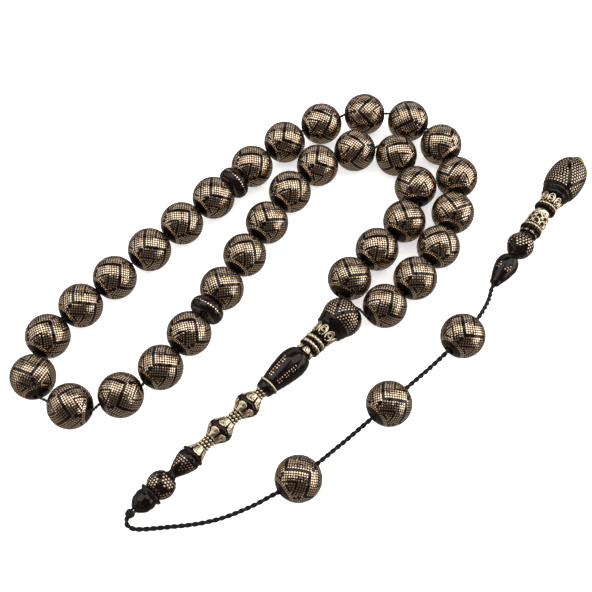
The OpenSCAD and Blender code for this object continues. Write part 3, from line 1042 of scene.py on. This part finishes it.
# %% Pendant's jet pieces
drop = Turning(
    [(1.1, SEAM), (1.22, 0.3)] + curve_between(1.3, 0.8, 2.6, 5.2, 0.15, 12)
    + rounding(2.63, 5.5, 1.42, 8, 12) + [(1.42, 8.4 - SEAM)], 0.8)
for side in range(6):
    for lean, rise in ((-0.62, 0), (0, 0), (-0.31, 0.6), (0.31, 0.6), (0, 1.2)):
        station = 3.6 + rise
        drop.pin(math.tau * side / 6 + lean / drop.radius(station), station, 0.16)
show_turned(drop, "pendant_drop", PENDANT)

PENDANT_BALL_R = 3.2


def flute(angle, r, s):
    """Six hollow flutes over the lower part of the ball."""
    depth = 0.3 * max(0.0, 1 - abs(s - 10.3) / 1.7)
    return r - depth * abs(math.cos(3 * angle)) ** 0.7 if r > 1.4 else r


pendant_ball = Turning(
    [(1.32, 8.4 + SEAM), (1.35, 8.8), (1.7, 9.15)]
    + [(r, PENDANT_BALL_AT + z) for r, z in ball_outline(PENDANT_BALL_R, -54, 57, 24)]
    + [(1.75, 14.75), (1.75, 15.3 - SEAM)], 0.8, 80, flute)
pendant_ball.rows(10.0, 14.5, 0.78, 0.2,
                  lambda turn, share: share < 0.46 * math.cos(3 * math.tau * turn) ** 2, 6)
show_turned(pendant_ball, "pendant_ball", PENDANT)

PENDANT_EGG_R = 4.45
pendant_egg = Turning(
    [(3.0, 27.2 + SEAM), (3.06, 28.3), (2.98, 28.4), (3.4, 28.5), (3.55, 29.6), (3.48, 29.68), (3.9, 29.74)]
    + curve_between(PENDANT_EGG_R - 0.5, 29.8, PENDANT_EGG_R, 33.4, 0.16)
    + rounding(PENDANT_EGG_R, 33.5, 1.8, 38.9 - SEAM, 18), 0.8, 80)
pendant_egg.rows(30.0, 38.3, 0.74, 0.185, lambda turn, share: abs(0.95 * zig(turn, 3) - share) < 0.07, 3)
show_turned(pendant_egg, "pendant_egg", PENDANT)
print("pins on the pendant's egg:", pendant_egg.shape.finish_of.count(1) // PIN_SIDES)

# %% [markdown]
# ## Pendant's collars and stud
# Two silver collars join the pendant's ball to its egg, each built like the crown: a dark core, a toothed
# washer, a rope ring and arches. A smooth neck lies between them. The round brass stud at the very end
# hides the knot that holds the cord.

# %% Pendant's collars and stud
collars = Shape()
add_turned(collars, [(0.9, 15.35), (2.1, 15.35), (1.8, 16.2), (1.9, 17.2), (2.2, 17.6), (2.3, 19.2),
                     (2.15, 20.8), (1.95, 21.0), (1.75, 22.85), (0.9, 22.85)], 64, 1, closed=True)
add_petals(collars, straight(1.8, 16.3, 2.1, 15.3), 16.3, 15.35, ARCHES, 0.08, 0.2, 0.5)
add_toothed(collars, 2.6, 16.35, 17.1, 22)
add_rope_ring(collars, 2.2, 17.45, 0.75, 1.5)
add_arches(collars, straight(2.2, 17.6, 2.3, 19.3), 17.8, 19.5, ARCHES, 0.16)
add_arches(collars, straight(2.3, 19.2, 2.15, 20.9), 19.3, 20.9, ARCHES, 0.16)
add_rope_ring(collars, 2.05, 21.1, 0.6, 1.3)
add_turned(collars, [(1.84, 21.4), (1.94, 21.5), (1.86, 22.4), (1.78, 22.8), (1.7, 22.8)], 64)
add_turned(collars, [(0.9, 22.95), (1.9, 22.95), (1.95, 24.3), (2.4, 26.9), (2.3, 27.1), (0.9, 27.1)], 64, 1,
           closed=True)
add_toothed(collars, 2.6, 23.1, 23.8, 22)
add_rope_ring(collars, 2.2, 24.15, 0.75, 1.5)
add_arches(collars, straight(2.05, 24.4, 2.5, 27.1), 24.6, 27.15, ARCHES, 0.17, 0.22)
add_eyelets(collars, straight(2.05, 24.4, 2.5, 27.1), 26.0, ARCHES, 0.45, 0.13)
show("pendant_collars_built", collars.mesh("pendant_collars", [CAST_SILVER, DARK_SILVER_AND_HOLE_SHADE]), PENDANT.place(),
     "strings", ["pendant_collars"])

stud = Shape()
add_turned(stud, [(0.02, 38.5), (1.3, 38.5), (1.3, 38.9), (1.62, 38.92), (1.7, 39.1)]
           + rounding(1.7, 39.2, 0.02, 40.6, 12), 40)
show("pendant_stud_turned", stud.mesh("pendant_stud", [BRASS]), PENDANT.place(), "pendant_egg",
     ["pendant_stud"])

# %% [markdown]
# ## The table
# The string lies on a white table whose far rim rises into a white dome, open at the top, so that no edge
# shows from any side. A little emission keeps it evenly white. Polished silver mirrors its surroundings,
# and a table this bright would wash out the lower half of every bead, so reflections do not see it. They
# see a dim grey card that lies below the table instead.

# %% Table and backdrop
def pale_finish():
    f = Finish("table_white")
    tone = f.between(f.noise(30), (0.80, 0.80, 0.80, 1), (0.83, 0.83, 0.83, 1))
    return f.wear(Base_Color=tone, Roughness=0.8, Emission_Color=tone, Emission_Strength=0.62)


DOME_R = 1500
flat = [(DOME_R * math.sin(a), 0.0) for a in (math.radians(9 * k) for k in range(6))]
dome = [(DOME_R * math.cos(a), DOME_R * math.sin(a)) for a in (math.radians(15 * k) for k in range(6))]
table_shape = Shape()
add_turned(table_shape, flat + dome, 48)
table = bpy.data.objects.new("table", table_shape.mesh("table", [pale_finish()]))
table.visible_glossy = False
bpy.context.scene.collection.objects.link(table)

CARD_HALF, CARD_Z = 900, -60
card_shape = Shape()
corners = [(x * CARD_HALF, y * CARD_HALF, CARD_Z) for x, y in ((-1, -1), (1, -1), (1, 1), (-1, 1))]
card_shape.add(corners, [(0, 1, 2, 3)])
card_finish = Finish("grey_card")
card_tone = card_finish.between(card_finish.noise(60), (0.9, 0.78, 0.68, 1), (1.0, 0.86, 0.76, 1))
card_mesh = card_shape.mesh("card", [card_finish.wear(Base_Color=(0.05, 0.05, 0.05, 1), Roughness=0.9,
                                                      Emission_Color=card_tone, Emission_Strength=0.28)])
card = bpy.data.objects.new("card_below_table", card_mesh)
bpy.context.scene.collection.objects.link(card)
print("dome over the table:", DOME_R, "mm in radius")

# %% [markdown]
# ## The light
# Broad, soft light leaves only a faint shadow under each bead. The lamps are few and large, with dark
# gaps between them: the bright patches and the dark ones on each bead are their reflections. Two stand
# overhead, with a narrow gap over the middle, and three stand low round the table and light the flanks.
# A lamp is given by its radiance, the brightness of its face, because that is what a mirror shows.

# %% Lamps
def lamp(name, place_mm, size_mm, radiance, tint):
    """A softbox of a given radiance, aimed at the middle of the table."""
    light = bpy.data.lights.new(name, "AREA")
    light.shape = "RECTANGLE"
    light.size, light.size_y = size_mm[0] * MM, size_mm[1] * MM
    light.energy = radiance * math.pi * light.size * light.size_y
    light.color = tint
    lamp_object = bpy.data.objects.new(name, light)
    lamp_object.location = Vector(place_mm) * MM
    lamp_object.rotation_euler = (-Vector(place_mm)).to_track_quat("-Z", "Y").to_euler()
    lamp_object.visible_camera = False
    bpy.context.scene.collection.objects.link(lamp_object)


lamp("top_left_softbox", (-235, 95, 440), (400, 480), 1.95, (1, 0.96, 0.9))
lamp("top_right_softbox", (235, 95, 440), (400, 480), 2.05, (1, 0.96, 0.9))
lamp("back_softbox", (0, 640, 190), (900, 340), 0.8, (1, 0.94, 0.88))
lamp("right_softbox", (620, -30, 150), (900, 360), 2.5, (1, 0.94, 0.88))
lamp("left_softbox", (-620, 60, 150), (800, 340), 1.0, (1, 0.94, 0.88))

world = bpy.data.worlds.new("studio")
world.use_nodes = True
world.node_tree.nodes["Background"].inputs["Color"].default_value = (1.0, 0.85, 0.72, 1)
world.node_tree.nodes["Background"].inputs["Strength"].default_value = 0.09
bpy.context.scene.world = world
bpy.context.scene.view_settings.view_transform = "Standard"
print("lamps:", [light.name for light in bpy.data.lights])

# %% [markdown]
# ## Sizes
# The pieces above replace the plain solids of the frame, so they must fill the same box.

# %% Sizes and end
low, high = cad_box
